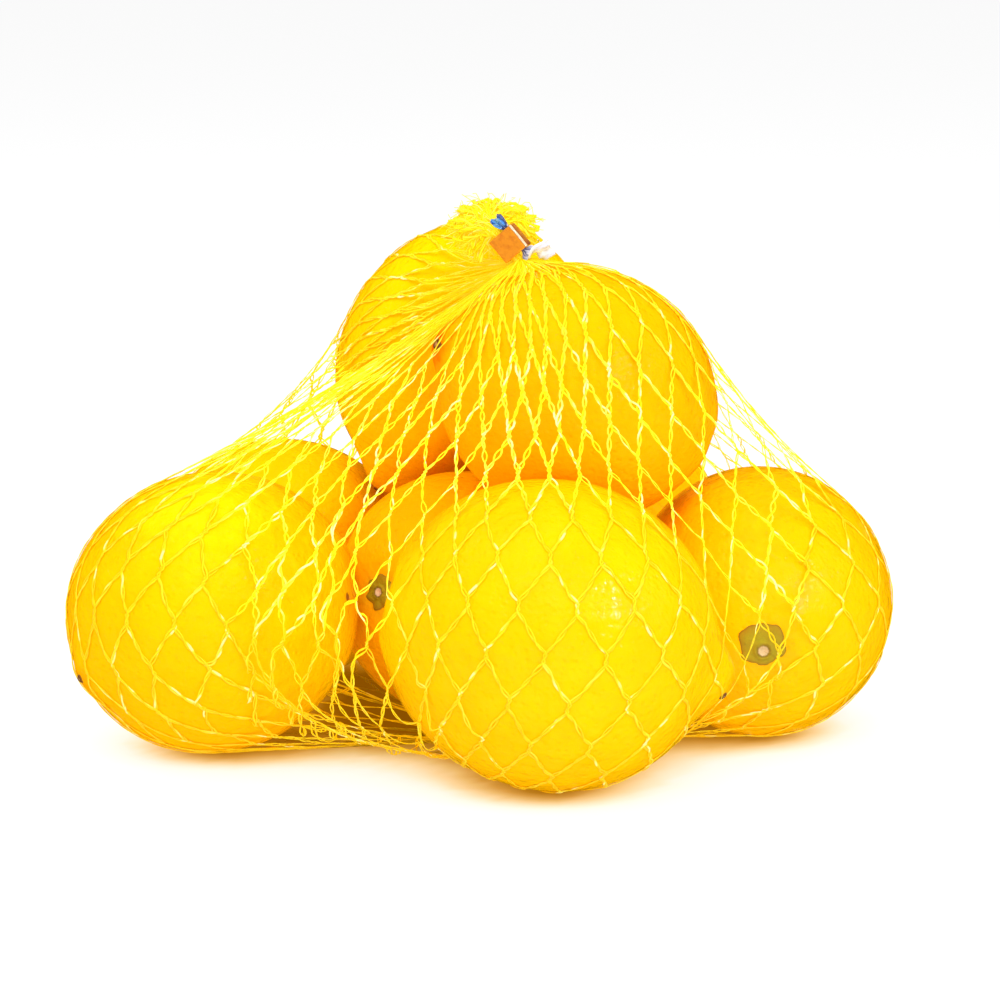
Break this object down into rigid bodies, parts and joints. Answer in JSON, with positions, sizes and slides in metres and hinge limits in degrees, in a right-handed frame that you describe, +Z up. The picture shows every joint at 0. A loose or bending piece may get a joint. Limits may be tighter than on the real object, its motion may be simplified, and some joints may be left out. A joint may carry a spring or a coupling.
{
  "type": "net of lemons",
  "caption": "Knitted plastic net bag pulled tight over a heap of lemons, its gathered neck closed by a folded metal clip that also holds a strip of label film.",
  "frame": {"origin": "middle of the footprint, on the ground under the filled net", "axes": "+Z up, +X to the right across the front, +Y from the front lemon towards the back"},
  "size_m": [0.1734, 0.1725, 0.1164],
  "materials": {
    "net_yellow": "knitted polyethylene net in yellow, slightly glossy, over waxy lemon peel",
    "copper_coat": "copper-orange lacquered aluminium band, glossy",
    "film_white": "thin crumpled plastic film, white with one blue end, glossy"
  },
  "bodies": {
    "root": {"net_bag": "net_yellow", "clip": "copper_coat", "label_film": "film_white"}
  },
  "joints": []
}
